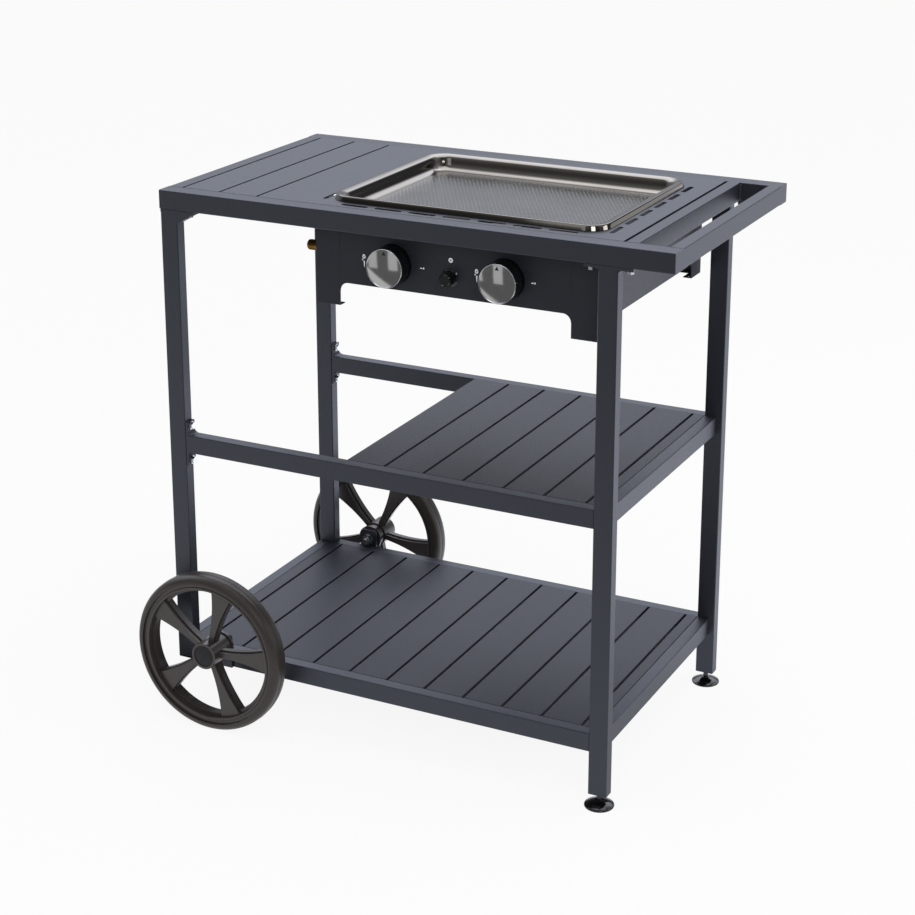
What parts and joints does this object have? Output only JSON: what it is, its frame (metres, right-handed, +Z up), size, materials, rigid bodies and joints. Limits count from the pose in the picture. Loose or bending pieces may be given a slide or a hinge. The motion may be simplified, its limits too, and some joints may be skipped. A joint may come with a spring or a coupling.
{
  "type": "outdoor gas griddle station",
  "caption": "Wheeled tube trolley with a slatted side table, a gas hob under a lift-out steel griddle tray, open shelves and an end handle.",
  "frame": {"origin": "centre of the footprint, on the ground, footprint taken over wheels and handle", "axes": "+X from the wheels to the handle, -Y to the side with the knobs, +Z up"},
  "size_m": [0.89, 0.6012, 0.884],
  "materials": {
    "frame_paint": "anthracite powder coat, fine texture",
    "slat_paint": "anthracite powder coat, fine texture",
    "housing_paint": "anthracite powder coat, fine texture",
    "zinc_steel": "zinc plated",
    "plain_steel": "bare sheet and tube",
    "tray_steel": "satin stainless sheet",
    "knob_chrome": "spun face, bright chamfer",
    "brass": "turned",
    "wheel_plastic": "brown-black moulding",
    "tyre_rubber": "solid, matte",
    "cap_plastic": "blue-black",
    "black_plastic": "black",
    "foot_plastic": "glossy black",
    "ceramic": "glazed ceramic"
  },
  "bodies": {
    "frame": {"top_front_rail": "frame_paint", "top_back_rail": "frame_paint", "top_left_rail": "frame_paint", "cross_tube": "frame_paint", "handle_bar": "frame_paint", "top_slats": "slat_paint", "hob_frame": "slat_paint", "leg_front_left": "frame_paint", "leg_back_left": "frame_paint", "leg_front_right": "frame_paint", "leg_back_right": "frame_paint", "tube_plugs": "black_plastic", "mid_front_rail": "frame_paint", "mid_back_rail": "frame_paint", "mid_right_rail": "frame_paint", "low_front_rail": "frame_paint", "low_back_rail": "frame_paint", "low_left_rail": "frame_paint", "low_right_rail": "frame_paint", "mid_slats": "slat_paint", "low_slats": "slat_paint", "leg_bolts": "zinc_steel", "rail_bolts": "zinc_steel", "axle_front": "zinc_steel", "axle_back": "zinc_steel", "bracket_front": "frame_paint", "bracket_back": "frame_paint", "control_panel": "housing_paint", "housing_left": "housing_paint", "housing_right": "housing_paint", "housing_back": "housing_paint", "carrier_front": "plain_steel", "carrier_back": "plain_steel", "bottom_pan": "plain_steel", "burner_left": "plain_steel", "burner_right": "plain_steel", "gas_manifold": "plain_steel", "gas_inlet": "brass", "valve_left": "brass", "valve_right": "brass", "knob_bezels": "black_plastic", "igniter_body": "black_plastic", "electrodes": "ceramic"},
    "front_wheel": {"wheel_front": "wheel_plastic", "tyre_front": "tyre_rubber", "hub_cap_front": "cap_plastic"},
    "back_wheel": {"wheel_back": "wheel_plastic", "tyre_back": "tyre_rubber", "hub_cap_back": "cap_plastic"},
    "front_foot": {"foot_front": "foot_plastic"},
    "back_foot": {"foot_back": "foot_plastic"},
    "left_valve_plug": {"valve_plug_left": "brass"},
    "left_knob": {"knob_left": "knob_chrome", "valve_stem_left": "zinc_steel"},
    "right_valve_plug": {"valve_plug_right": "brass"},
    "right_knob": {"knob_right": "knob_chrome", "valve_stem_right": "zinc_steel"},
    "igniter": {"igniter_button": "black_plastic"},
    "griddle": {"griddle_tray": "tray_steel"}
  },
  "joints": [
    {"name": "front_wheel_spin", "type": "hinge", "parent": "frame", "child": "front_wheel", "pos_m": [-0.312, -0.244, 0.133], "axis": [0, 1, 0], "continuous": true},
    {"name": "back_wheel_spin", "type": "hinge", "parent": "frame", "child": "back_wheel", "pos_m": [-0.312, 0.244, 0.133], "axis": [0, 1, 0], "continuous": true},
    {"name": "front_foot_screw", "type": "slide", "parent": "frame", "child": "front_foot", "axis": [0, 0, -1], "range_m": [-0.01, 0.02]},
    {"name": "back_foot_screw", "type": "slide", "parent": "frame", "child": "back_foot", "axis": [0, 0, -1], "range_m": [-0.01, 0.02]},
    {"name": "left_knob_turn", "type": "hinge", "parent": "frame", "child": "left_valve_plug", "pos_m": [-0.01, -0.21, 0.797], "axis": [0, -1, 0], "range_deg": [0, 270]},
    {"name": "left_knob_push", "type": "slide", "parent": "left_valve_plug", "child": "left_knob", "axis": [0, 1, 0], "range_m": [0, 0.0035], "stiffness_N_per_m": 2500, "springref_m": -0.001},
    {"name": "right_knob_turn", "type": "hinge", "parent": "frame", "child": "right_valve_plug", "pos_m": [0.174, -0.21, 0.797], "axis": [0, -1, 0], "range_deg": [0, 270]},
    {"name": "right_knob_push", "type": "slide", "parent": "right_valve_plug", "child": "right_knob", "axis": [0, 1, 0], "range_m": [0, 0.0035], "stiffness_N_per_m": 2500, "springref_m": -0.001},
    {"name": "igniter_push", "type": "slide", "parent": "frame", "child": "igniter", "axis": [0, 1, 0], "range_m": [0, 0.005], "stiffness_N_per_m": 1500, "springref_m": -0.001},
    {"name": "griddle_lift", "type": "slide", "parent": "frame", "child": "griddle", "axis": [0, 0, 1], "range_m": [0, 0.06]}
  ]
}
